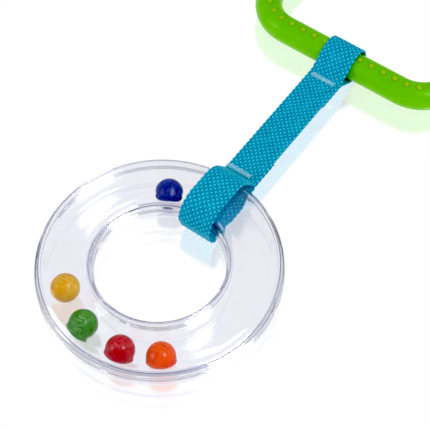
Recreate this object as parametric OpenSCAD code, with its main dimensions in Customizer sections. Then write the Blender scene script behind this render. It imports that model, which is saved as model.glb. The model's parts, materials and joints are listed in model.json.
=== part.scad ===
// Baby rattle: a clear ring with loose balls inside, tied by a webbing strap to a soft teether.
// Millimetres, +Z up. X runs along the strap from the ring to the teether, Y across it.
// The origin is under the middle of the whole object, on the surface that it lies on.

/* [Ring] */
// Outside diameter of the ring, over the seam bead
ring_od = 100; // [90:1:120]
// Width of the ring's tube, over the seam bead
tube_w = 23.6; // [23:0.2:26]
// Thickness of the ring's tube
tube_h = 16.6; // [16:0.2:18]
// Radius of the tube's round edges
tube_corner = 5.4; // [5:0.1:6]
// Width of the channel that the balls roll in
channel_w = 18.8; // [18.4:0.1:19]
// Height of the channel
channel_h = 13; // [12.8:0.1:13.2]
// Radius of the channel's corners
channel_corner = 2.2; // [2:0.1:2.6]
// How far the bead along the seam stands out
bead_proud = 0.3; // [0.2:0.05:0.4]
// Height of the bead along the seam
bead_h = 2.4; // [2:0.1:3]

/* [Balls] */
// Diameter of each ball
ball_d = 11.8; // [10:0.1:12]
// Direction of the blue ball from the strap, seen from above
blue_at = 31; // [20:1:60]
// Direction of the yellow ball
yellow_at = 140; // [100:0.5:141]
// Direction of the green ball
green_at = 167; // [160:0.5:170]
// Direction of the red ball
red_at = 194.5; // [190:0.5:196]
// Direction of the orange ball
orange_at = 218; // [216:0.5:240]

/* [Webbing] */
// Width of the webbing
web_w = 16; // [12:0.5:20]
// Thickness of one layer of webbing
web_t = 1.3; // [1:0.1:1.5]
// Height of the strap's underside
strap_z = 8; // [7:0.1:9]
// Distance from the ring's centre to the tack beside the ring
ring_tack_at = 57.4; // [57:0.1:60]
// Distance from the ring's centre to the tack beside the teether
teether_tack_at = 119; // [116:0.5:120]
// Distance from the ring's centre to the teether's near bar
bar_at = 134; // [132:0.5:140]
// How far each folded end reaches past its tack
flap = 12; // [8:0.5:12]

/* [Tacks] */
// Length of a tack across the webbing
tack_l = 12; // [8:0.5:14]
// Width of a tack along the webbing
tack_w = 2.2; // [1.5:0.1:3]
// How far the thread stands out of the webbing
tack_t = 0.4; // [0.3:0.05:0.6]

/* [Teether] */
// Diameter of the teether's bar
bar_d = 12.4; // [11:0.2:12.4]
// Side of the teether's frame, from bar centre to bar centre
frame_side = 96; // [80:1:110]
// Radius of the frame's corners, at the bar's centre
frame_corner = 18; // [14:1:24]
// Height of the raised dots on the bar
dot_h = 0.45; // [0.3:0.05:0.5]
// Width of each dot where it meets the bar
dot_w = 2.4; // [1.6:0.1:2.8]
// Spacing of the dots along the bar
dot_pitch = 6.2; // [5:0.1:8]

/* [Hidden] */
$fn = 96;
eps = 0.01; // keeps cuts clear of faces
fit = 0.4; // gap between the ring and the webbing round it
dot_gap = 0.35; // gap between the teether's dots and the webbing round them
joint_gap = 0.3; // gap where the webbing folds or twists
rest_gap = 0.3; // gap under each ball
blue_out = -2.2; // how far outside the channel's middle each ball lies
yellow_out = 0.1;
green_out = 0.5;
red_out = 1.1;
orange_out = 1.4;
key_h = 1.2; // height of the lugs that line the shells up
key_arc = 3.6; // arc of a lug, in degrees
key_at = 12; // direction of the first lug
keys = 4;
lug_t = 1.7; // thickness of a lug, inside the wall
lug_root = 0.5; // how deep a lug is rooted in the lower shell
tongue_t = 0.6; // thickness of the tongue that joins the shells
tongue_h = 1.1; // height of the tongue
weld_gap = 0.05; // gap between tongue and groove
arc_step = 7.5; // degrees between the points of a webbing bend
ring_flex_at = 72.4; // where the strap folds beside the ring
twist_at = 88; // where the strap twists
teether_flex_at = 103.8; // where the strap folds beside the teether
ring_tack_y = 1.9; // middle of the ring's tack, across the webbing
teether_tack_y = 0.2; // middle of the teether's tack

mid_r = (ring_od - tube_w) / 2; // radius of the tube's centreline
bar_r = bar_d / 2;
frame_reach = bar_at + frame_side + bar_r; // ring's centre to the teether's far edge
ring_x = (ring_od / 2 - frame_reach) / 2;
ring_z = web_t + fit + tube_h / 2;
side_wall = (tube_w - 2 * bead_proud - channel_w) / 2; // thickness of the ring's upright walls
wall_in = bead_proud + side_wall / 2; // middle of an upright wall, in from its bead
ball_z = ring_z - channel_h / 2 + ball_d / 2 + rest_gap;
bar_x = ring_x + bar_at;
loop_r = bar_r + dot_h + dot_gap; // inside radius of the teether's loop
bar_z = web_t + loop_r;
layer_z = strap_z + web_t / 2; // middle of the strap's thickness
turn_r = tube_corner + fit; // inside radius of the ring's loop
turn_lift = tube_h / 2 - tube_corner; // from the seam up to the middle of a round edge
inner_r = ring_od / 2 - tube_w; // radius of the ring's hole
inner_face = sqrt(inner_r * inner_r - web_w * web_w / 4) - fit; // loop's face inside the hole
inner_turn = [ring_x + inner_face + turn_r, ring_z];
outer_turn = [ring_x + mid_r + tube_w / 2 - bead_proud - tube_corner, ring_z];
ring_apex = [ring_x + ring_tack_at - tack_w, strap_z]; // where the two layers meet
teether_apex = [ring_x + teether_tack_at + tack_w * 1.3, strap_z];
bar_turn = [bar_x, bar_z];
straight = frame_side - 2 * frame_corner;

// Points of an arc, both ends included
function arc(centre, r, from, to) =
    let (n = max(1, ceil(abs(to - from) / arc_step)))
    [for (i = [0:n]) centre + r * [cos(from + (to - from) * i / n), sin(from + (to - from) * i / n)]];

// Direction that faces away from the line from a point to a circle, above (1) or below (-1) it
function tangent_angle(tip, centre, r, side) =
    let (d = tip - centre)
    atan2(d[1], d[0]) + side * acos(r / norm(d));

// Where the outside of a layer meets the level outside of the two layers laid together
function crotch(tip, centre, r, side) =
    let (a = tangent_angle(tip, centre, r, side), level = tip[1] + side * web_t)
    [(cos(a) * centre[0] + sin(a) * (centre[1] - level) + r + web_t) / cos(a), level];

// Edge of a webbing loop with its tip toward +X, at a height above its inside face; the middles
// of its four bends lie a lift above and below the points near and far
function loop_edge(tip, near, far, lift, r, height) =
    let (rise = [0, lift])
    concat(
        arc(near + rise, r + height, tangent_angle(tip, near + rise, r, 1), 90),
        arc(far + rise, r + height, 90, 180),
        arc(far - rise, r + height, 180, 270),
        arc(near - rise, r + height, 270, 360 + tangent_angle(tip, near - rise, r, -1))
    );

// Webbing, drawn from the side and given its width
module webbing() {
    rotate([90, 0, 0])
        linear_extrude(web_w, center = true)
            children();
}

// One teardrop loop, seen from the side, with its two layers laid together up to lap_x
module teardrop(tip, near, far, lift, r, lap_x) {
    rise = [0, lift];
    difference() {
        polygon(concat(
            [[lap_x, tip[1] - web_t], [lap_x, tip[1] + web_t], crotch(tip, near + rise, r, 1)],
            loop_edge(tip, near, far, lift, r, web_t),
            [crotch(tip, near - rise, r, -1)]
        ));
        polygon(concat([tip], loop_edge(tip, near, far, lift, r, 0)));
    }
}

// A level layer of the strap, seen from the side, from x0 to x1
module layer(x0, x1) {
    translate([x0, strap_z])
        square([x1 - x0, web_t]);
}

// A rectangle with round corners, standing on the centreline circle
module round_box(w, h, r) {
    translate([mid_r, 0])
        union() {
            for (x = [-1, 1], z = [-1, 1])
                translate([x * (w / 2 - r), z * (h / 2 - r)])
                    circle(r);
            square([w - 2 * r, h], center = true);
            square([w, h - 2 * r], center = true);
        }
}

// The bead's two ribs, one on each wall, blended into the wall by their large radius
module bead_outline() {
    rib_r = (bead_h * bead_h / 4 + bead_proud * bead_proud) / (2 * bead_proud);
    reach = tube_w / 2 - rib_r;
    for (side = [-1, 1])
        intersection() {
            translate([mid_r + side * reach, 0])
                circle(rib_r);
            translate([mid_r + side * (tube_w / 2 - wall_in), 0])
                square([2 * wall_in, bead_h], center = true);
        }
}

// The ring's wall between two heights, measured from the seam
module wall_outline(low, high) {
    intersection() {
        difference() {
            union() {
                round_box(tube_w - 2 * bead_proud, tube_h, tube_corner);
                bead_outline();
            }
            round_box(channel_w, channel_h, channel_corner);
        }
        translate([0, low])
            square([ring_od, high - low]);
    }
}

// The tongue on both walls, or the groove that it goes into
module tongue_outline(gap) {
    for (side = [-1, 1])
        translate([mid_r + side * (tube_w / 2 - wall_in) - tongue_t / 2 - gap, -eps])
            square([tongue_t + 2 * gap, tongue_h + gap + eps]);
}

// The lugs on both walls, or the notches that they go into
module lugs(thick, gap) {
    for (i = [0:keys - 1])
        rotate(key_at + i * 360 / keys - key_arc / 2 - gap)
            rotate_extrude(angle = key_arc + 2 * gap)
                for (side = [-1, 1])
                    translate([mid_r + side * (tube_w / 2 - wall_in) - thick / 2, -lug_root])
                        square([thick, lug_root + key_h + gap]);
}

module ring_upper_shell() {
    color("lavender", 0.4)
        translate([ring_x, 0, ring_z])
            difference() {
                rotate_extrude()
                    difference() {
                        wall_outline(0, tube_h);
                        tongue_outline(weld_gap);
                    }
                lugs(tube_w / 4, weld_gap);
            }
}

module ring_lower_shell() {
    color("lavender", 0.4)
        translate([ring_x, 0, ring_z])
            union() {
                rotate_extrude()
                    union() {
                        wall_outline(-tube_h, 0);
                        tongue_outline(0);
                    }
                lugs(lug_t, 0);
            }
}

// One ball in the ring's channel, at a direction and a distance outside the channel's middle
module ball(at, out) {
    translate([ring_x, 0, ball_z])
        rotate(at)
            translate([mid_r + out, 0, 0])
                sphere(d = ball_d);
}

module ball_blue() {
    color("navy") ball(blue_at, blue_out);
}

module ball_yellow() {
    color("goldenrod") ball(yellow_at, yellow_out);
}

module ball_green() {
    color("forestgreen") ball(green_at, green_out);
}

module ball_red() {
    color("crimson") ball(red_at, red_out);
}

module ball_orange() {
    color("orangered") ball(orange_at, orange_out);
}

// The webbing round the ring, its folded end and the start of the strap
module ring_loop() {
    fold_x = ring_x + ring_flex_at;
    color("darkcyan")
        webbing()
            union() {
                teardrop(
                    ring_apex, outer_turn, inner_turn, turn_lift, turn_r,
                    ring_x + ring_tack_at + flap
                );
                layer(ring_x + ring_tack_at, fold_x);
                translate([fold_x, layer_z])
                    circle(d = web_t);
            }
}

// The strap between the fold beside the ring and the place where it twists
module strap_inner() {
    color("darkcyan")
        webbing()
            layer(ring_x + ring_flex_at + web_t / 2 + joint_gap, ring_x + twist_at - joint_gap / 2);
}

// The strap between the place where it twists and the fold beside the teether
module strap_outer() {
    fold_x = ring_x + teether_flex_at;
    color("darkcyan")
        webbing()
            union() {
                layer(ring_x + twist_at + joint_gap / 2, fold_x);
                translate([fold_x, layer_z])
                    circle(d = web_t);
            }
}

// The webbing round the teether's bar, with its folded end under the strap
module teether_loop() {
    start_x = ring_x + teether_flex_at + web_t / 2 + joint_gap;
    color("darkcyan")
        webbing()
            union() {
                translate([teether_apex[0], 0])
                    mirror([1, 0])
                        translate([-teether_apex[0], 0])
                            teardrop(
                                teether_apex,
                                2 * [teether_apex[0], 0] + [-bar_x, bar_z],
                                2 * [teether_apex[0], 0] + [-bar_x, bar_z],
                                0,
                                loop_r,
                                2 * teether_apex[0] - ring_x - teether_tack_at + flap
                            );
                layer(start_x, ring_x + teether_tack_at);
            }
}

// The thread of a tack, above and below the two layers of webbing
module tack(at, middle) {
    for (z = [strap_z - web_t - tack_t / 2, strap_z + web_t + tack_t / 2])
        translate([ring_x + at, middle, z])
            cube([tack_w, tack_l, tack_t], center = true);
}

module ring_tack() {
    color("lightblue") tack(ring_tack_at, ring_tack_y);
}

module teether_tack() {
    color("lightblue") tack(teether_tack_at, teether_tack_y);
}

// A quarter of the frame: half of two sides and the corner between them
module frame_quarter() {
    translate([straight / 2, straight / 2, 0])
        rotate_extrude(angle = 90)
            translate([frame_corner, 0])
                circle(d = bar_d);
    translate([0, frame_side / 2, 0])
        rotate([0, 90, 0])
            cylinder(d = bar_d, h = straight / 2);
    translate([frame_side / 2, 0, 0])
        rotate([-90, 0, 0])
            cylinder(d = bar_d, h = straight / 2);
}

// The dots of one quarter, on the top and the underside of the bar
module quarter_dots() {
    dot_r = (dot_w * dot_w / 4 + dot_h * dot_h) / (2 * dot_h);
    lift = bar_r + dot_h - dot_r;
    bend = frame_corner * PI / 2;
    side_dots = round(straight / 2 / dot_pitch);
    side_pitch = straight / 2 / side_dots;
    bend_dots = round(bend / dot_pitch);
    for (z = [-lift, lift]) {
        for (i = [1:side_dots])
            translate([frame_side / 2, (i - 0.5) * side_pitch, z])
                sphere(dot_r);
        for (i = [0:bend_dots - 1])
            translate([straight / 2, straight / 2, z])
                rotate((i + 0.5) * 90 / bend_dots)
                    translate([frame_corner, 0, 0])
                        sphere(dot_r);
        for (i = [1:side_dots])
            translate([(i - 0.5) * side_pitch, frame_side / 2, z])
                sphere(dot_r);
    }
}

module teether() {
    color("limegreen")
        translate([bar_x + frame_side / 2, 0, bar_z])
            union()
                for (i = [0:3])
                    rotate(i * 90) {
                        frame_quarter();
                        quarter_dots();
                    }
}

ring_upper_shell();
ring_lower_shell();
ball_blue();
ball_yellow();
ball_green();
ball_red();
ball_orange();
ring_loop();
ring_tack();
strap_inner();
strap_outer();
teether_loop();
teether_tack();
teether();
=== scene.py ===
"""A baby rattle: a clear ring with loose balls, a webbing strap and a soft teether.

Lengths are in millimetres in the CAD model's frame, and metre() turns them into Blender's units.
"""
import json
import math

import bpy
import numpy as np
from mathutils import Matrix, Vector


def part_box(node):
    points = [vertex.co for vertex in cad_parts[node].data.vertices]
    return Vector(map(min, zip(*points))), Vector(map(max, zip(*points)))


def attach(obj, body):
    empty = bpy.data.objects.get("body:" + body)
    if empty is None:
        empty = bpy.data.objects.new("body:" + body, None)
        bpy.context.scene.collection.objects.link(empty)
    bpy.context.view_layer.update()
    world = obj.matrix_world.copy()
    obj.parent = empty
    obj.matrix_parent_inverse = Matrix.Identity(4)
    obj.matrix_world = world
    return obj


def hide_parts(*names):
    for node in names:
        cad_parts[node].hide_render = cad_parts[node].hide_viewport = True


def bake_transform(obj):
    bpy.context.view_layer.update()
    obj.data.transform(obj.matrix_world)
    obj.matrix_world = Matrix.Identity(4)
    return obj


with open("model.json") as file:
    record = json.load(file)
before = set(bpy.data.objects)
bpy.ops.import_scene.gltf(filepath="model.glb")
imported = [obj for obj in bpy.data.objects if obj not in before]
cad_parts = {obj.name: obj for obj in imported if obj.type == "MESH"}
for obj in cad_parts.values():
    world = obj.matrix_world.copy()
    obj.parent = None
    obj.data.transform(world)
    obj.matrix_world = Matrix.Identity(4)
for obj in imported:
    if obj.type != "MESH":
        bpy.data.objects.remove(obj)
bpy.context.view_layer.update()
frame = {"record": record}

MM = 0.001


def node_box(node):
    """Lowest and highest corner of a CAD node, in millimetres."""
    low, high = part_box(node)
    return low / MM, high / MM


def joint(name):
    """A joint of the record, by its name."""
    return next(j for j in frame["record"]["behaviour"]["joints"] if j["name"] == name)


def joint_x(name):
    """Where a joint's axis crosses the strap's line, in millimetres."""
    return joint(name)["pos_m"][0] / MM


# ---------------------------------------------------------------- sizes

shell_low, shell_high = node_box("ring_upper_shell")
RING_X = (shell_low.x + shell_high.x) / 2
SEAM_Z = shell_low.z
RING_R = (shell_high.x - shell_low.x) / 2
HALF_H = shell_high.z - SEAM_Z  # half the thickness of the ring
TUBE_W = 23.6  # over the bead on each wall
CORNER = 5.4  # the round edges of the tube
BEAD = 0.3  # how far the bead stands out
BEAD_H = 2.4
LANE_W = 18.8  # width of the balls' channel
LANE_H = 13.0
LANE_CORNER = 2.2
MID_R = RING_R - TUBE_W / 2
WALL_X = TUBE_W / 2 - BEAD  # from the middle of the tube to the outside of a wall
SEAM_EDGE = 0.10  # rounding of the shells' edges at the seam
SEAM_GAP = 0.015
TONGUE_T = 0.6
TONGUE_H = 1.1
LUG_H = 1.2
LUG_ARC = 3.6
LUG_AT = 12  # direction of the first of the four lugs
FIT = 0.05  # gap round the tongue and the lugs

BALLS = ("blue", "yellow", "green", "red", "orange")
BALL_RIDGE = 0.02  # height of a ball's parting line
BALL_RIDGE_SPREAD = 1.2  # degrees

strap_low, strap_high = node_box("strap_inner")
WEB_W = strap_high.y - strap_low.y
WEB_T = strap_high.z - strap_low.z
STRAP_Z = (strap_low.z + strap_high.z) / 2  # middle of the strap's one layer
LAP_Z = strap_low.z  # where the two layers of a fold meet

LOOP_SLACK = 3.7  # how much wider the loop bends over the ring than round its edge
WARPS = 13  # warp yarns across the webbing
WARP_P = WEB_W / WARPS
PICK_P = 1.25  # spacing of the weft yarns
YARN_STEPS = 6  # mesh points across each yarn
WAVE = 0.15  # how far each yarn swings out and back
YARN_ROUND = 0.26  # height of a yarn's round back
SELVEDGE = 0.6  # width of the strip's rounded edges
SELVEDGE_IN = 0.13  # how far the edge is pulled in, with as much again at every other weft
BEND_SOFT = 1.4  # length over which the strip's corners are softened
LONG_STITCH_R = 0.16
ZIGZAG_R = 0.17
ZIGZAGS = 33  # in each bar tack

bar_low, bar_high = node_box("teether")
FRAME_OUT = bar_high.y - bar_low.y
DOT_H = 0.45
DOT_W = 2.4
DOT_PITCH = 6.2
DOT_SIDES = 20
BAR_RIDGE = 0.07  # height of the bar's parting line
BAR_SUNK = 0.04  # how far the bar between its parting lines is set in
BAR_R = (bar_high.z - bar_low.z) / 2 - DOT_H
FRAME_CORNER = 18
FRAME_SIDE = FRAME_OUT - 2 * BAR_R
BAR_X = bar_low.x + BAR_R
BAR_Z = (bar_low.z + bar_high.z) / 2

# Turned by this angle, the picture's right-hand direction is the strap's direction.
PICTURE_TURN = math.radians(53.5)
CAMERA_ASIDE = 22.3  # from the ring's axis to the picture's right
CAMERA_BACK = 257.6
CAMERA_UP = 446.2  # above the ring's underside
CAMERA_DOWN = math.radians(57.19)  # how steeply it looks down
CAMERA_ROLL = math.radians(-0.68)
LENS = 106.34
SENSOR = 36


# ---------------------------------------------------------------- meshes


def metre(points):
    """Points in millimetres as points in metres."""
    return np.asarray(points, float) * MM


def add_piece(name, points, faces, material, smooth_angle=None):
    """A mesh object from points in millimetres."""
    mesh = bpy.data.meshes.new(name)
    mesh.from_pydata(metre(points).tolist(), [], faces)
    mesh.validate()
    mesh.materials.append(material)
    mesh.shade_smooth()
    if smooth_angle:
        mesh.set_sharp_from_angle(angle=math.radians(smooth_angle))
    piece = bpy.data.objects.new(name, mesh)
    bpy.context.scene.collection.objects.link(piece)
    return piece


def grid_faces(rows, columns, close_rows, close_columns, first=0):
    """Quads between the points of a grid that is stored row by row."""
    faces = []
    for i in range(rows if close_rows else rows - 1):
        here = first + i * columns
        there = first + (i + 1) % rows * columns
        for j in range(columns if close_columns else columns - 1):
            k = (j + 1) % columns
            faces.append((here + j, here + k, there + k, there + j))
    return faces


def flipped(faces):
    """The same faces, looking the other way."""
    return [face[::-1] for face in faces]


def arc(centre, r, start, end, step=2.0):
    """Points of an arc in a plane, angles in degrees, both ends included."""
    count = max(1, math.ceil(abs(end - start) / step))
    turns = np.radians(np.linspace(start, end, count + 1))
    return [(centre[0] + r * math.cos(t), centre[1] + r * math.sin(t)) for t in turns]


def lathe(profiles, turns):
    """Points of profiles, each a list of (radius, height), set at their turns round Z."""
    points = []
    for profile, turn in zip(profiles, turns):
        c, s = math.cos(turn), math.sin(turn)
        points += [(r * c, r * s, z) for r, z in profile]
    return points


def tube(path, r, sides=8):
    """Points and faces of a round thread along a path, with closed ends."""
    path = np.asarray(path, float)
    along = np.gradient(path, axis=0)
    along /= np.linalg.norm(along, axis=1)[:, None]
    side = np.cross(along, (0.0, 0.0, 1.0))
    side /= np.linalg.norm(side, axis=1)[:, None]
    up = np.cross(side, along)
    turns = np.arange(sides) * 2 * math.pi / sides
    thin = np.ones(len(path))
    thin[[0, -1]] = 0.45
    points = [
        p + r * k * (math.cos(t) * a + math.sin(t) * b)
        for p, a, b, k in zip(path, side, up, thin)
        for t in turns
    ]
    faces = grid_faces(len(path), sides, False, True)
    faces += [tuple(range(sides))[::-1], tuple(range(len(points) - sides, len(points)))]
    return points, flipped(faces)


def joined(parts):
    """Several (points, faces) as one."""
    points, faces = [], []
    for more, cells in parts:
        faces += [tuple(i + len(points) for i in cell) for cell in cells]
        points += list(more)
    return points, faces


# ---------------------------------------------------------------- materials


def srgb(r, g, b):
    """A colour given from 0 to 255, as Blender's linear RGBA."""
    linear = [
        c / 12.92 if c <= 0.04045 else ((c + 0.055) / 1.055) ** 2.4
        for c in (r / 255, g / 255, b / 255)
    ]
    return (*linear, 1.0)


class Nodes:
    """Short calls for building one material's node tree."""

    def __init__(self, name):
        self.material = bpy.data.materials.new(name)
        self.material.use_nodes = True
        self.tree = self.material.node_tree
        self.shader = self.tree.nodes["Principled BSDF"]
        self.output = self.tree.nodes["Material Output"]

    def add(self, kind, **values):
        """A node; each value sets a property, or an input where its name has one."""
        node = self.tree.nodes.new("ShaderNode" + kind)
        for key, value in values.items():
            if key in node.inputs:
                node.inputs[key].default_value = value
            else:
                setattr(node, key, value)
        return node

    def link(self, a, b):
        self.tree.links.new(a, b)

    def set(self, **values):
        """Sets the shader's own sockets; underscores stand for spaces."""
        for key, value in values.items():
            self.shader.inputs[key.replace("_", " ")].default_value = value

    def ramp(self, factor, *stops):
        """Colours along a factor, from (place, colour) pairs."""
        node = self.add("ValToRGB")
        elements = node.color_ramp.elements
        while len(elements) < len(stops):
            elements.new(0.5)
        for element, (place, colour) in zip(elements, stops):
            element.position = place
            element.color = colour
        self.link(factor, node.inputs["Fac"])
        return node.outputs["Color"]

    def mapped(self, scale, rotation=(0, 0, 0), attribute=None):
        """Object coordinates, or a vector attribute, scaled and turned."""
        if attribute:
            source = self.add("Attribute", attribute_name=attribute).outputs["Vector"]
        else:
            source = self.add("TexCoord").outputs["Object"]
        mapping = self.add("Mapping", Scale=scale, Rotation=rotation)
        self.link(source, mapping.inputs["Vector"])
        return mapping.outputs["Vector"]

    def noise(self, vector, scale, detail=3.0, roughness=0.5):
        node = self.add("TexNoise", Scale=scale, Detail=detail, Roughness=roughness)
        self.link(vector, node.inputs["Vector"])
        return node.outputs["Fac"]

    def remap(self, value, low, high, to_low=0.0, to_high=1.0):
        node = self.add("MapRange")
        for name, number in zip(
            ("From Min", "From Max", "To Min", "To Max"), (low, high, to_low, to_high)
        ):
            node.inputs[name].default_value = number
        self.link(value, node.inputs["Value"])
        return node.outputs["Result"]

    def math(self, operation, a, b):
        node = self.add("Math", operation=operation)
        for value, socket in ((a, node.inputs[0]), (b, node.inputs[1])):
            if isinstance(value, (int, float)):
                socket.default_value = value
            else:
                self.link(value, socket)
        return node.outputs["Value"]

    def bump(self, height, strength, distance):
        node = self.add("Bump", Strength=strength, Distance=distance)
        self.link(height, node.inputs["Height"])
        self.link(node.outputs["Normal"], self.shader.inputs["Normal"])


def scratches(nodes, density, seed):
    """Fine short hairlines in several directions: 1 on a hairline, 0 off it."""
    length, width = 0.004, 0.0003  # metres
    total = None
    for i in range(3):
        turn = (seed + 0.9 * i, 0.5 + 1.1 * i, 1.7 * i + seed)
        stretched = nodes.mapped((1 / width, 1 / length, 1 / width), turn)
        line = nodes.remap(nodes.noise(stretched, 1.0, 1.0), density, density + 0.05)
        total = line if total is None else nodes.math("MAXIMUM", total, line)
    return total


def clear_plastic():
    """Clear moulded plastic with a faint lavender tint and hairline scratches."""
    nodes = Nodes("clear_plastic")
    nodes.set(
        Base_Color=srgb(252, 252, 254), Roughness=0.02, IOR=1.5, Transmission_Weight=1.0
    )
    haze = nodes.math("MULTIPLY", scratches(nodes, 0.70, 0.3), 0.16)
    nodes.link(nodes.math("ADD", haze, 0.015), nodes.shader.inputs["Roughness"])
    # light reaches what is inside as if through a thin tinted film
    film = nodes.add("BsdfTransparent", Color=srgb(244, 244, 250))
    paths = nodes.add("LightPath")
    mix = nodes.add("MixShader")
    nodes.link(paths.outputs["Is Shadow Ray"], mix.inputs["Fac"])
    nodes.link(nodes.shader.outputs["BSDF"], mix.inputs[1])
    nodes.link(film.outputs["BSDF"], mix.inputs[2])
    nodes.link(mix.outputs["Shader"], nodes.output.inputs["Surface"])
    # light that runs a long way along a wall is dimmed and comes out grey
    dimming = nodes.add("VolumeAbsorption", Color=(0.10, 0.12, 0.42, 1), Density=18.0)
    nodes.link(dimming.outputs["Volume"], nodes.output.inputs["Volume"])
    return nodes.material


def ball_plastic(name, colour, dark, scuff, worn, seed):
    """Glossy moulded plastic, scuffed by the other balls, mostly in patches."""
    nodes = Nodes("plastic_" + name)
    nodes.set(Roughness=0.16, IOR=1.5, Specular_IOR_Level=0.35)
    cloud = nodes.noise(nodes.mapped((160, 160, 160)), 1.0, 2.0)
    body = nodes.ramp(cloud, (0.35, dark), (0.65, colour))
    patch = nodes.remap(nodes.noise(nodes.mapped((120, 120, 120), (seed, 0, 0)), 1.0, 1.0), 0.4, 0.6)
    lines = nodes.math("MULTIPLY", scratches(nodes, 0.60, seed), patch)
    mix = nodes.add("MixRGB")
    nodes.link(nodes.math("MULTIPLY", lines, worn), mix.inputs["Fac"])
    nodes.link(body, mix.inputs["Color1"])
    mix.inputs["Color2"].default_value = scuff
    nodes.link(mix.outputs["Color"], nodes.shader.inputs["Base Color"])
    nodes.link(nodes.math("ADD", nodes.math("MULTIPLY", lines, 0.3), 0.14),
               nodes.shader.inputs["Roughness"])
    nodes.bump(lines, 0.15, 0.00002)
    return nodes.material


def webbing_fabric():
    """Woven tape: fibres run along each yarn; the tops of the yarns carry a painted highlight and the
    gaps between them a painted shade.
    """
    nodes = Nodes("webbing_fabric")
    nodes.set(Roughness=0.62, IOR=1.46, Sheen_Weight=0.25, Sheen_Roughness=0.45,
              Sheen_Tint=srgb(150, 225, 245))
    # the crown value paints light and shade: paler where a yarn stands high, a painted highlight, and
    # darker in the gaps, a painted shade
    crown = nodes.add("Attribute", attribute_name="crown").outputs["Fac"]
    fibres = nodes.noise(nodes.mapped((9.0, 0.9, 1.0), attribute="strand"), 1.0, 3.0, 0.6)
    cloud = nodes.noise(nodes.mapped((0.35, 0.2, 1.0), attribute="strand"), 1.0, 2.0)
    shade = nodes.math("ADD", crown, nodes.remap(fibres, 0.3, 0.7, -0.16, 0.16))
    shade = nodes.math("ADD", shade, nodes.remap(cloud, 0.3, 0.7, -0.06, 0.06))
    # the dark end of the ramp is painted shade in the gaps, the pale end painted highlight on the yarn
    # tops
    colour = nodes.ramp(
        shade,
        (0.0, srgb(0, 78, 122)),
        (0.42, srgb(0, 124, 166)),
        (0.62, srgb(0, 144, 184)),
        (0.84, srgb(84, 196, 216)),
    )
    nodes.link(colour, nodes.shader.inputs["Base Color"])
    nodes.bump(fibres, 0.6, 0.00008)
    return nodes.material


def thread_fibre():
    """Pale sewing thread, finely streaked by its plies."""
    nodes = Nodes("thread_fibre")
    nodes.set(Roughness=0.5, IOR=1.46, Sheen_Weight=0.3)
    plies = nodes.noise(nodes.mapped((2600, 900, 1800)), 1.0, 2.0)
    colour = nodes.ramp(plies, (0.3, srgb(92, 196, 218)), (0.7, srgb(186, 236, 244)))
    nodes.link(colour, nodes.shader.inputs["Base Color"])
    nodes.bump(plies, 0.4, 0.00005)
    return nodes.material


def teether_rubber():
    """Soft translucent green moulding with a satin gloss, and a painted highlight that makes each dot
    paler towards its top.
    """
    nodes = Nodes("teether_rubber")
    nodes.set(
        Roughness=0.34,
        IOR=1.43,
        Subsurface_Weight=0.35,
        Subsurface_Radius=(0.6, 1.0, 0.15),
        Subsurface_Scale=0.003,
        Coat_Weight=0.12,
        Coat_Roughness=0.2,
    )
    cloud = nodes.noise(nodes.mapped((55, 55, 55)), 1.0, 3.0)
    # painted highlight: the green turns paler towards the top of each dot
    dot = nodes.add("Attribute", attribute_name="crown").outputs["Fac"]
    body = nodes.ramp(cloud, (0.3, srgb(112, 198, 0)), (0.7, srgb(120, 206, 0)))
    mix = nodes.add("MixRGB", Color2=srgb(176, 226, 60))
    nodes.link(nodes.math("MULTIPLY", dot, 0.7), mix.inputs["Fac"])
    nodes.link(body, mix.inputs["Color1"])
    nodes.link(mix.outputs["Color"], nodes.shader.inputs["Base Color"])
    skin = nodes.noise(nodes.mapped((1500, 1500, 1500)), 1.0, 2.0)
    nodes.link(nodes.remap(skin, 0.3, 0.7, 0.29, 0.39), nodes.shader.inputs["Roughness"])
    nodes.bump(skin, 0.12, 0.00004)
    return nodes.material


# ---------------------------------------------------------------- ring


def bead(height):
    """How far the bead stands out of the wall at a height from the seam."""
    swell = 0.5 + 0.5 * math.cos(min(1.0, abs(height) / (BEAD_H / 2)) * math.pi)
    return BEAD * swell**0.7


def lane_outline(side, seam):
    """Half of the balls' channel, from the outer wall's seam over the ceiling to the inner one."""
    x, z, r = LANE_W / 2, LANE_H / 2, LANE_CORNER
    heights = np.linspace(seam, side * (z - r), 5)[:-1]
    corner = [(x - r + px, side * (z - r + pz)) for px, pz in arc((0, 0), r, 0, 90, 6)]
    ceiling = [(px, side * z) for px in np.linspace(x - r, 0, 5)[1:-1]]
    half = [(x, h) for h in heights] + corner + ceiling
    return half + [(0, side * z)] + [(-px, pz) for px, pz in half[::-1]]


def shell_profile(side, seam, rib_half, rib_h):
    """Closed outline of one shell's wall: side is 1 for the upper shell, -1 for the lower."""
    # points crowd towards the seam, where the bead is
    first, last = seam + side * SEAM_EDGE, side * (HALF_H - CORNER)
    wall = [(WALL_X + bead(z), z) for z in first + (last - first) * np.linspace(0, 1, 22) ** 1.2]
    corner = arc((WALL_X - CORNER, HALF_H - CORNER), CORNER, 0, 90, 3)
    skin_xz = wall + [(x, side * z) for x, z in corner[1:]]
    crown = [(x, side * HALF_H) for x in np.linspace(1, -1, 9)[1:-1] * (WALL_X - CORNER)]
    edge = skin_xz[0][0]
    rib = (LANE_W / 2 + edge) / 2  # the tongue or groove, in the middle of the wall
    seam_face = [
        (rib - rib_half, seam),
        (rib - rib_half, seam + rib_h),
        (rib + rib_half, seam + rib_h),
        (rib + rib_half, seam),
        (edge - SEAM_EDGE, seam),
        (edge - 0.3 * SEAM_EDGE, seam + side * 0.3 * SEAM_EDGE),
    ]
    outline = skin_xz + crown + [(-x, z) for x, z in skin_xz[::-1]]
    outline += [(-x, z) for x, z in seam_face[::-1]]
    outline += lane_outline(side, seam)[::-1]
    outline += seam_face
    return [(MID_R + x, z) for x, z in outline]


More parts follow.
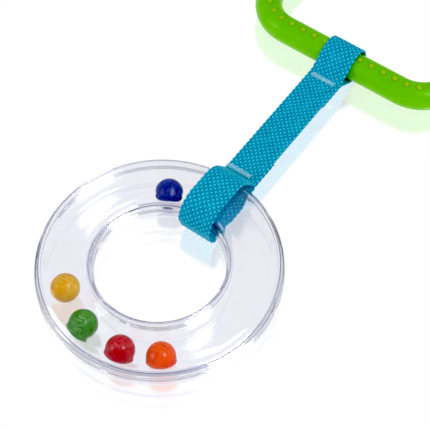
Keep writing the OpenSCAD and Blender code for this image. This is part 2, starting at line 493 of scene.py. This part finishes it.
def ring_shell(name, side, rib_half, rib_h, lug_half, material):
    """One half of the clear ring, with the lugs or notches that line the halves up."""
    gap = side * SEAM_GAP
    plain = shell_profile(side, gap, rib_half, rib_h)
    lugged = shell_profile(side, LUG_H + gap, rib_half, 0.01)
    edges = [LUG_AT + 90 * i + way * lug_half for i in range(4) for way in (-1, 1)]
    turns = [t for t in np.arange(0, 360, 1.0) if min(abs(t - e) for e in edges) > 0.2]
    turns += [e + nudge for e in edges for nudge in (-0.02, 0.02)]
    turns = sorted(turns)
    on_lug = [abs((t - LUG_AT + 45) % 90 - 45) < lug_half for t in turns]
    points = lathe([lugged if on else plain for on in on_lug], np.radians(turns))
    faces = grid_faces(len(turns), len(plain), True, True)
    shell = add_piece(name, points, faces, material, smooth_angle=40)
    shell.data.transform(Matrix.Translation(metre((RING_X, 0, SEAM_Z))))
    turn_outward(shell)
    return shell


def turn_outward(piece):
    """Makes a closed mesh's faces look outward."""
    mesh = piece.data
    mesh.calc_loop_triangles()
    corners = np.empty(3 * len(mesh.loop_triangles), np.int32)
    mesh.loop_triangles.foreach_get("vertices", corners)
    points = np.empty(3 * len(mesh.vertices), np.float32)
    mesh.vertices.foreach_get("co", points)
    a, b, c = points.reshape(-1, 3)[corners.reshape(-1, 3)].transpose(1, 0, 2)
    if np.einsum("ij,ij->", a, np.cross(b, c)) < 0:
        mesh.flip_normals()


def ball(name, node, material, axis):
    """One ball, with the parting line of its mould as a faint ridge."""
    low, high = node_box(node)
    r = (high.x - low.x) / 2
    heights = np.radians(np.concatenate([
        np.linspace(-90, -4, 44), np.linspace(-3, 3, 13), np.linspace(4, 90, 44)
    ]))
    radii = r - BALL_RIDGE + BALL_RIDGE * np.exp(-((np.degrees(heights) / BALL_RIDGE_SPREAD) ** 2))
    profile = [(d * max(math.cos(t), 1e-4), d * math.sin(t)) for t, d in zip(heights, radii)]
    count = 96
    points = lathe([profile] * count, np.arange(count) * 2 * math.pi / count)
    size = len(profile)
    faces = grid_faces(count, size, True, False)
    faces += [tuple(i * size for i in range(count))[::-1],
              tuple(i * size + size - 1 for i in range(count))]
    piece = add_piece(name, points, faces, material)
    tilt = Vector((0, 0, 1)).rotation_difference(Vector(axis)).to_matrix().to_4x4()
    piece.data.transform(Matrix.Translation((low + high) / 2 * MM) @ tilt)
    turn_outward(piece)
    return piece


# ---------------------------------------------------------------- webbing


def tangent_turn(tip, centre, r, way):
    """Direction, in degrees, that faces away from the line from a tip to a circle."""
    dx, dz = tip[0] - centre[0], tip[1] - centre[1]
    return math.degrees(math.atan2(dz, dx) + way * math.acos(r / math.hypot(dx, dz)))


def crotch(tip, centre, r, way):
    """Where the middle of a sloping layer meets the middle of its level layer."""
    turn = math.radians(tangent_turn(tip, centre, r, way))
    level = tip[1] + way * WEB_T / 2
    reach = math.cos(turn) * centre[0] + math.sin(turn) * (centre[1] - level) + r + WEB_T / 2
    return (reach / math.cos(turn), level)


def loop_path(tip, near, far, lift, r, slack, fold_x):
    """Middle of a loop whose tip faces +X: the folded end, round the loop, back to the tip.

    The loop's four bends have their middles a lift above and below the points near and far. The
    upper two are wider by a slack, and stay clear of what the loop goes round.
    """
    ease = slack * math.sqrt(0.5)
    near_up, near_down = (near[0] - ease, near[1] + lift - ease), (near[0], near[1] - lift)
    far_up, far_down = (far[0] + ease, far[1] + lift - ease), (far[0], far[1] - lift)
    middle = r + WEB_T / 2
    return (
        [(fold_x, tip[1] - WEB_T / 2), crotch(tip, near_down, r, -1)]
        + arc(near_down, middle, 360 + tangent_turn(tip, near_down, r, -1), 270)
        + arc(far_down, middle, 270, 180)
        + arc(far_up, middle + slack, 180, 90)
        + arc(near_up, middle + slack, 90, tangent_turn(tip, near_up, r + slack, 1))
        + [crotch(tip, near_up, r + slack, 1)]
    )


def mirrored(points, x):
    """Points of a side view, mirrored about an upright line."""
    return [(2 * x - p, z) for p, z in points]


def strip_route():
    """The whole strip, seen from the side: fold, ring loop, strap, teether loop, fold."""
    loop_low, loop_high = node_box("ring_loop")
    lift = HALF_H - CORNER
    turn_r = loop_high.z - SEAM_Z - WEB_T - lift  # inside radius of the loop's bends
    near = (RING_X + MID_R + WALL_X - CORNER, SEAM_Z)
    far = (loop_low.x + WEB_T + turn_r, SEAM_Z)
    tack_low, tack_high = node_box("ring_tack")
    tip = (tack_low.x - (tack_high.x - tack_low.x) / 2, LAP_Z)
    fold_x = TACKS["ring"] + FLAP
    ring_part = loop_path(tip, near, far, lift, turn_r, LOOP_SLACK, fold_x)

    end_low, end_high = node_box("teether_loop")
    bar_turn_r = (end_high.z - end_low.z) / 2 - WEB_T
    tack_low, tack_high = node_box("teether_tack")
    tip = (TACKS["teether"] + 1.3 * (tack_high.x - tack_low.x), LAP_Z)
    centre = (2 * tip[0] - BAR_X, BAR_Z)
    fold_x = 2 * tip[0] - TACKS["teether"] + FLAP
    teether_part = mirrored(loop_path(tip, centre, centre, 0, bar_turn_r, 0, fold_x), tip[0])
    return np.array(ring_part + teether_part[::-1])


def middle_x(node):
    """Middle of a node along the strap."""
    low, high = node_box(node)
    return (low.x + high.x) / 2


TACKS = {"ring": middle_x("ring_tack"), "teether": middle_x("teether_tack")}
FLAP = 12  # how far each folded end reaches past its tack


def even_route(route, step, soften):
    """A route in even steps, with its corners softened over a length."""
    lengths = np.concatenate([[0], np.cumsum(np.linalg.norm(np.diff(route, axis=0), axis=1))])
    count = round(lengths[-1] / step)
    places = np.arange(count + 1) * step
    even = np.column_stack([np.interp(places, lengths, route[:, k]) for k in (0, 1)])
    half = round(soften / step)
    weights = np.hanning(2 * half + 3)[1:-1]
    weights /= weights.sum()
    ends = np.pad(even, ((half, half), (0, 0)), mode="reflect", reflect_type="odd")
    return np.column_stack([np.convolve(ends[:, k], weights, "valid") for k in (0, 1)])


def swing_of(turn):
    """A yarn's swing at a turn of its wave, flat where it lies over or under the others."""
    return WAVE * np.tanh(1.8 * np.cos(turn)) / math.tanh(1.8)


def weave(u, v, face):
    """Height of the cloth's surface at u across and v along, from -1 deep to 1 on a crown."""
    warp = np.clip(np.floor((u + WEB_W / 2) / WARP_P), 0, WARPS - 1)
    off_warp = (u + WEB_W / 2) / WARP_P - warp - 0.5
    pick = np.round(v / PICK_P)
    off_pick = v / PICK_P - pick
    swing = face * swing_of(math.pi * (v / PICK_P + warp))
    over = swing + YARN_ROUND * (np.sqrt(1 - (1.9 * off_warp) ** 2) - 1)
    swing = -face * swing_of(math.pi * ((u + WEB_W / 2) / WARP_P - 0.5 + pick))
    under = 0.6 * swing - 0.08 + YARN_ROUND * (np.sqrt(1 - (1.9 * off_pick) ** 2) - 1)
    return np.maximum(over, under)


STEP = PICK_P / YARN_STEPS


def webbing(name, first, last, material):
    """A stretch of the strip between two of its rows, as one closed woven mesh."""
    rows = np.arange(first, last + 1)
    middle = STRIP[rows]
    along = STRIP_ALONG[rows]
    normal = np.column_stack([-along[:, 1], along[:, 0]])
    columns = WARPS * YARN_STEPS
    u = np.linspace(-WEB_W / 2, WEB_W / 2, columns + 1)
    v = rows * STEP
    edge = np.clip((WEB_W / 2 - np.abs(u)) / SELVEDGE, 0, 1)
    thin = np.sqrt(1 - (1 - edge) ** 2)  # the selvedge is round
    core = WEB_T / 2 - WAVE
    faces_uv = {}
    for face in (1, -1):
        height = weave(u[None, :], v[:, None], face)
        # the second value sets the painted light and shade of the weave: high on a yarn is painted lit,
        # deep in a gap is painted shaded
        faces_uv[face] = (core + height) * thin, 0.5 + (height + 0.1) / (2 * WAVE + 0.2)
    nip = SELVEDGE_IN * np.cos(math.pi * v / PICK_P)
    points, weave_light_shade, strands = [], [], []
    for i in range(len(rows)):
        top, top_light_shade = (a[i] for a in faces_uv[1])
        low, low_light_shade = (a[i] for a in faces_uv[-1])
        loop = [(k, top[k], top_light_shade[k]) for k in range(columns + 1)]
        loop += [(k, -low[k], low_light_shade[k]) for k in range(columns - 1, 0, -1)]
        for k, h, crown in loop:
            way = math.copysign(1, u[k])
            side = u[k] - way * (SELVEDGE_IN + way * nip[i]) * (1 - edge[k])
            points.append((middle[i, 0] + normal[i, 0] * h, side, middle[i, 1] + normal[i, 1] * h))
            weave_light_shade.append(crown)
            strands.append((u[k], v[i], 0.0))
    size = 2 * columns
    faces = grid_faces(len(rows), size, False, True)
    for base, flip in ((0, True), ((len(rows) - 1) * size, False)):
        for k in range(columns):
            a, b = base + k, base + k + 1
            c, d = base + (size - k - 1) % size, base + (size - k) % size
            cell = tuple(dict.fromkeys((a, b, c, d)))
            faces.append(cell[::-1] if flip else cell)
    piece = add_piece(name, points, faces, material)
    turn_outward(piece)
    mark_caps(piece, 2 * columns)
    # the painted highlight and painted shade of the weave, for its material to read
    store(piece, "crown", "FLOAT", weave_light_shade)
    store(piece, "strand", "FLOAT_VECTOR", strands)
    return piece


def mark_caps(piece, count):
    """Keeps the shading of the last faces, the two cut ends, apart from the rest."""
    mesh = piece.data
    caps = {key for face in mesh.polygons[len(mesh.polygons) - count:] for key in face.edge_keys}
    sides = {key for face in mesh.polygons[: len(mesh.polygons) - count] for key in face.edge_keys}
    rim = caps & sides
    for edge in mesh.edges:
        if edge.key in rim:
            edge.use_edge_sharp = True


def store(piece, name, kind, values):
    """A value at each point of a piece, for its material to read."""
    attribute = piece.data.attributes.new(name, kind, "POINT")
    field = "vector" if kind == "FLOAT_VECTOR" else "value"
    attribute.data.foreach_set(field, np.asarray(values, np.float32).ravel())


def row_at(x, upper=True):
    """The strip's row nearest a place on the strap's upper layer."""
    level = np.abs(STRIP[:, 1] - STRAP_Z) < WEB_T / 4
    gap = np.where(level, np.abs(STRIP[:, 0] - x), np.inf)
    return int(np.argmin(gap))


def bar_tack(name, node, material):
    """A dense zigzag of thread over a few long stitches, on both sides of the fold."""
    low, high = node_box(node)
    centre = (low + high) / 2
    across, along = high.y - low.y, high.x - low.x
    rng = np.random.default_rng(7)
    parts = []
    for way, surface in ((1, LAP_Z + WEB_T), (-1, LAP_Z - WEB_T)):
        for shift in (-0.3, 0.05, 0.35):
            ys = np.linspace(-across / 2 + 0.5, across / 2 - 0.5, 30)
            lift = np.sqrt(np.clip(1 - (2 * ys / across) ** 8, 0, 1))
            wave = shift * along + 0.08 * np.sin(ys * 2.1 + shift * 9)
            heights = surface + way * (LONG_STITCH_R * lift - 0.1)
            path = np.column_stack([centre.x + wave, centre.y + ys, heights])
            parts.append(tube(path, LONG_STITCH_R))
        ys = np.linspace(-across / 2, across / 2, ZIGZAGS + 1)
        for k in range(ZIGZAGS):
            t = np.linspace(0, 1, 9)
            reach = along / 2 * rng.uniform(0.95, 1.45)
            start = -reach if k % 2 else reach
            xs = start * (1 - 2 * t) + rng.uniform(-0.1, 0.1)
            arch = 0.30 * np.sqrt(np.clip(1 - (2 * t - 1) ** 4, 0, 1)) - 0.08
            path = np.column_stack([
                centre.x + xs,
                centre.y + ys[k] + (ys[k + 1] - ys[k]) * t + rng.uniform(-0.1, 0.1),
                surface + way * arch,
            ])
            parts.append(tube(path, ZIGZAG_R))
    points, faces = joined(parts)
    return add_piece(name, points, faces, material)


# ---------------------------------------------------------------- teether


def frame_route():
    """The bar's centreline, in small steps, as (point, outward direction)."""
    half = FRAME_SIDE / 2 - FRAME_CORNER
    route = []
    for quarter in range(4):
        turn = quarter * math.pi / 2
        c, s = math.cos(turn), math.sin(turn)
        side = [(FRAME_SIDE / 2, y, 0.0) for y in np.linspace(-half, half, 41)[:-1]]
        bend = [
            (half + FRAME_CORNER * math.cos(t), half + FRAME_CORNER * math.sin(t), t)
            for t in np.linspace(0, math.pi / 2, 33)[:-1]
        ]
        for x, y, t in side + bend:
            route.append(((x * c - y * s, x * s + y * c), turn + t))
    return route


def dot_places():
    """Where the dots stand along the bar, as (point, outward direction)."""
    half = FRAME_SIDE / 2 - FRAME_CORNER
    on_side = round(half / DOT_PITCH)
    on_bend = round(FRAME_CORNER * math.pi / 2 / DOT_PITCH)
    places = []
    for quarter in range(4):
        turn = quarter * math.pi / 2
        c, s = math.cos(turn), math.sin(turn)
        spots = [(FRAME_SIDE / 2, way * (i + 0.5) * half / on_side, 0.0)
                 for i in range(on_side) for way in (-1, 1)]
        for i in range(on_bend):
            t = (i + 0.5) * math.pi / 2 / on_bend
            spots.append((half + FRAME_CORNER * math.cos(t), half + FRAME_CORNER * math.sin(t), t))
        places += [((x * c - y * s, x * s + y * c), turn + t) for x, y, t in spots]
    return places


def dot(place, turn, way):
    """A low dome that runs smoothly into the round bar, as points and faces."""
    rings, sides = 9, DOT_SIDES
    out = np.array((math.cos(turn), math.sin(turn)))
    ahead = np.array((-out[1], out[0]))
    points = []
    for i in range(rings + 1):
        d = DOT_W / 2 * 1.35 * i / rings
        swell = DOT_H * max(0.0, 1 - (d / (DOT_W / 2 * 1.3)) ** 2) ** 2 - 0.03 * (i / rings) ** 4
        for k in range(sides):
            a = 2 * math.pi * k / sides
            lean = d * math.cos(a) / BAR_R  # round the bar
            r = BAR_R + swell
            xy = np.array(place) + out * r * math.sin(lean) + ahead * d * math.sin(a)
            points.append((*xy, way * r * math.cos(lean)))
    faces = grid_faces(rings + 1, sides, False, True)
    return points, flipped(faces) if way > 0 else faces


def teether_bar(material):
    """The moulded frame: a round bar with a faint parting ridge, and rows of dots."""
    sides = 72
    points = []
    for (x, y), turn in frame_route():
        out = (math.cos(turn), math.sin(turn))
        for k in range(sides):
            a = 2 * math.pi * k / sides
            off = min(abs(math.degrees(a)), abs(math.degrees(a) - 180), abs(math.degrees(a) - 360))
            r = BAR_R - BAR_SUNK + BAR_RIDGE * math.exp(-((off / 3) ** 2))
            points.append((x + out[0] * r * math.cos(a), y + out[1] * r * math.cos(a), r * math.sin(a)))
    bar = (points, flipped(grid_faces(len(points) // sides, sides, True, True)))
    dots = [dot(place, turn, way) for place, turn in dot_places() for way in (1, -1)]
    points, faces = joined([bar] + dots)
    piece = add_piece("teether_bar", points, faces, material)
    piece.data.transform(Matrix.Translation(metre((BAR_X + FRAME_SIDE / 2, 0, BAR_Z))))
    # how near the top of its dot each point lies, for the painted highlight on the dots
    heights = np.zeros(len(points))
    per_dot = len(dots[0][0])
    ramp = np.repeat(np.linspace(1, 0, per_dot // DOT_SIDES) ** 0.5, DOT_SIDES)
    heights[len(bar[0]):] = np.tile(ramp, len(dots))
    store(piece, "crown", "FLOAT", heights)
    return piece


# ---------------------------------------------------------------- studio


def from_picture(right, away):
    """A level direction given by the picture's right and away, in the row frame."""
    c, s = math.cos(PICTURE_TURN), math.sin(PICTURE_TURN)
    return Vector((right * c + away * s, -right * s + away * c, 0))


def ring_centre(height):
    """The ring's axis at a height in millimetres."""
    return Vector((RING_X, 0, height))


def add_camera():
    """The camera, looking down at the ring from the photograph's side."""
    data = bpy.data.cameras.new("camera")
    data.sensor_width = SENSOR
    data.lens = LENS
    data.clip_start = 0.01
    camera = bpy.data.objects.new("camera", data)
    place = ring_centre(SEAM_Z - HALF_H + CAMERA_UP) + from_picture(CAMERA_ASIDE, -CAMERA_BACK)
    ahead = from_picture(0, 1) * math.cos(CAMERA_DOWN) - Vector((0, 0, math.sin(CAMERA_DOWN)))
    right = from_picture(1, 0)
    up = right.cross(ahead)
    turned_right = right * math.cos(CAMERA_ROLL) + up * math.sin(CAMERA_ROLL)
    turned_up = up * math.cos(CAMERA_ROLL) - right * math.sin(CAMERA_ROLL)
    axes = Matrix((turned_right, turned_up, -ahead)).transposed().to_4x4()
    camera.matrix_world = Matrix.Translation(place * MM) @ axes
    bpy.context.scene.collection.objects.link(camera)
    bpy.context.scene.camera = camera


def softbox(name, azimuth, elevation, distance, size, watts):
    """A rectangular light that faces the ring; azimuth is measured from the picture's right."""
    azimuth, elevation = math.radians(azimuth), math.radians(elevation)
    level = from_picture(math.cos(azimuth), math.sin(azimuth)) * math.cos(elevation)
    direction = level + Vector((0, 0, math.sin(elevation)))
    data = bpy.data.lights.new(name, "AREA")
    data.shape = "RECTANGLE"
    data.size, data.size_y = size
    data.energy = watts
    light = bpy.data.objects.new(name, data)
    light.location = ring_centre(0) * MM + direction * distance
    light.rotation_euler = direction.to_track_quat("Z", "Y").to_euler()
    bpy.context.scene.collection.objects.link(light)


WALL_UP = math.radians(48)  # the middle of the pale wall behind the object, up from the table
WALL = ((0.55, (0.56, 0.57, 0.64)), (0.86, (0.62, 0.62, 0.62)))  # by how squarely one faces it
HORIZON = ((0.12, (0.70, 0.70, 0.75)), (0.45, (0.54, 0.55, 0.62)))  # by the height of a direction


def add_world():
    """A pale grey studio: a little brighter near the table, and behind the object."""
    world = bpy.data.worlds.new("studio")
    bpy.context.scene.world = world
    world.use_nodes = True
    tree = world.node_tree
    coordinates = tree.nodes.new("ShaderNodeTexCoord").outputs["Generated"]
    wall = from_picture(0, 1) * math.cos(WALL_UP) + Vector((0, 0, math.sin(WALL_UP)))
    blend = tree.nodes.new("ShaderNodeMixRGB")
    blend.blend_type = "LIGHTEN"
    blend.inputs["Fac"].default_value = 1.0
    for socket, axis, stops in (("Color1", wall, WALL), ("Color2", Vector((0, 0, 1)), HORIZON)):
        facing = tree.nodes.new("ShaderNodeVectorMath")
        facing.operation = "DOT_PRODUCT"
        facing.inputs[1].default_value = axis
        ramp = tree.nodes.new("ShaderNodeValToRGB")
        for element, (place, colour) in zip(ramp.color_ramp.elements, stops):
            element.position = place
            element.color = (*colour, 1)
        tree.links.new(coordinates, facing.inputs[0])
        tree.links.new(facing.outputs["Value"], ramp.inputs["Fac"])
        tree.links.new(ramp.outputs["Color"], blend.inputs[socket])
    tree.links.new(blend.outputs["Color"], tree.nodes["Background"].inputs["Color"])


def add_floor():
    """A glossy white table that lights the object from below and mirrors it faintly."""
    material = bpy.data.materials.new("white_table")
    material.use_nodes = True
    nodes, links = material.node_tree.nodes, material.node_tree.links
    nodes.remove(nodes["Principled BSDF"])
    glow = nodes.new("ShaderNodeEmission")
    glow.inputs["Strength"].default_value = 1.77
    gloss = nodes.new("ShaderNodeBsdfGlossy")
    gloss.inputs["Roughness"].default_value = 0.15
    mix = nodes.new("ShaderNodeMixShader")
    mix.inputs["Fac"].default_value = 0.6
    links.new(glow.outputs["Emission"], mix.inputs[1])
    links.new(gloss.outputs["BSDF"], mix.inputs[2])
    links.new(mix.outputs["Shader"], nodes["Material Output"].inputs["Surface"])
    mesh = bpy.data.meshes.new("table")
    half = 8.0
    mesh.from_pydata([(-half, -half, 0), (half, -half, 0), (half, half, 0), (-half, half, 0)],
                     [], [(0, 1, 2, 3)])
    mesh.materials.append(material)
    table = bpy.data.objects.new("table", mesh)
    table.location.z = -0.0002
    bpy.context.scene.collection.objects.link(table)


# ---------------------------------------------------------------- the rattle

add_camera()
add_world()
add_floor()
softbox("key_softbox", -26, 60, 0.9, (0.34, 0.30), 2.2)
softbox("left_softbox", 186, 28, 0.9, (0.30, 0.45), 1.4)

# the faint veil that the pale studio lays over dark colours is taken off
view = bpy.context.scene.view_settings
view.view_transform = "Standard"
view.use_curve_mapping = True
view.curve_mapping.black_level = (0.065, 0.065, 0.065)
view.curve_mapping.update()
# light crosses many clear walls before it reaches the camera
bpy.context.scene.cycles.max_bounces = 32
bpy.context.scene.cycles.transmission_bounces = 32
bpy.context.scene.cycles.glossy_bounces = 32

clear = clear_plastic()
upper = ring_shell("upper_shell", 1, TONGUE_T / 2 + FIT, TONGUE_H + FIT, LUG_ARC / 2 + FIT, clear)
lower = ring_shell("lower_shell", -1, TONGUE_T / 2, TONGUE_H, LUG_ARC / 2, clear)
for shell, node in ((upper, "ring_upper_shell"), (lower, "ring_lower_shell")):
    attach(shell, "ring")
    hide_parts(node)

# colour, darker colour, colour and strength of the scuffs, and the axis of the parting line
BALL_LOOKS = {
    "blue": (srgb(0, 38, 144), srgb(0, 26, 128), srgb(90, 120, 190), 0.2, (0.3, 0.5, 0.8)),
    "yellow": (srgb(230, 174, 0), srgb(218, 154, 0), srgb(250, 226, 130), 0.6, (0.7, -0.2, 0.6)),
    "green": (srgb(52, 142, 6), srgb(36, 122, 0), srgb(180, 220, 150), 0.4, (-0.5, 0.6, 0.6)),
    "red": (srgb(190, 0, 16), srgb(172, 0, 10), srgb(244, 150, 155), 0.3, (0.2, 0.8, 0.5)),
    "orange": (srgb(242, 82, 0), srgb(230, 62, 0), srgb(255, 170, 70), 0.4, (-0.6, 0.1, 0.8)),
}
for number, name in enumerate(BALLS):
    colour, dark, scuff, worn, axis = BALL_LOOKS[name]
    piece = ball("rattle_ball_" + name, "ball_" + name,
                 ball_plastic(name, colour, dark, scuff, worn, 0.7 * number), axis)
    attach(piece, name)
    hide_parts("ball_" + name)

STRIP = even_route(strip_route(), STEP, BEND_SOFT)
STRIP_ALONG = np.gradient(STRIP, axis=0)
STRIP_ALONG /= np.linalg.norm(STRIP_ALONG, axis=1)[:, None]

fabric = webbing_fabric()
FLEX_X, FAR_FLEX_X = joint_x("ring_flex"), joint_x("teether_flex")
CUT_NEAR = FLEX_X + 3.6
CUT_FAR = FAR_FLEX_X - 4.4


row_near, row_far = row_at(CUT_NEAR), row_at(CUT_FAR)
stretches = (
    ("webbing_round_ring", 0, row_near, "loop", "strap_near",
     FLEX_X - 2.4, FLEX_X + 2.4, ("ring_loop",)),
    ("webbing_strap", row_near, row_far, "strap_near", "strap_far",
     CUT_NEAR + 1, CUT_FAR - 1, ("strap_inner", "strap_outer")),
    ("webbing_round_bar", row_far, len(STRIP) - 1, "strap_far", "teether_end",
     FAR_FLEX_X - 2.6, FAR_FLEX_X + 2.6, ("teether_loop",)),
)
for name, first, last, body, next_body, bend_from, bend_to, nodes_shown in stretches:
    piece = webbing(name, first, last, fabric)
    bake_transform(piece)
    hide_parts(*nodes_shown)

fibre = thread_fibre()
for place, body in (("ring", "loop"), ("teether", "teether_end")):
    piece = bar_tack("thread_by_" + place, place + "_tack", fibre)
    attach(piece, body)
    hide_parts(place + "_tack")

teether = teether_bar(teether_rubber())
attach(teether, "teether")
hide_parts("teether")
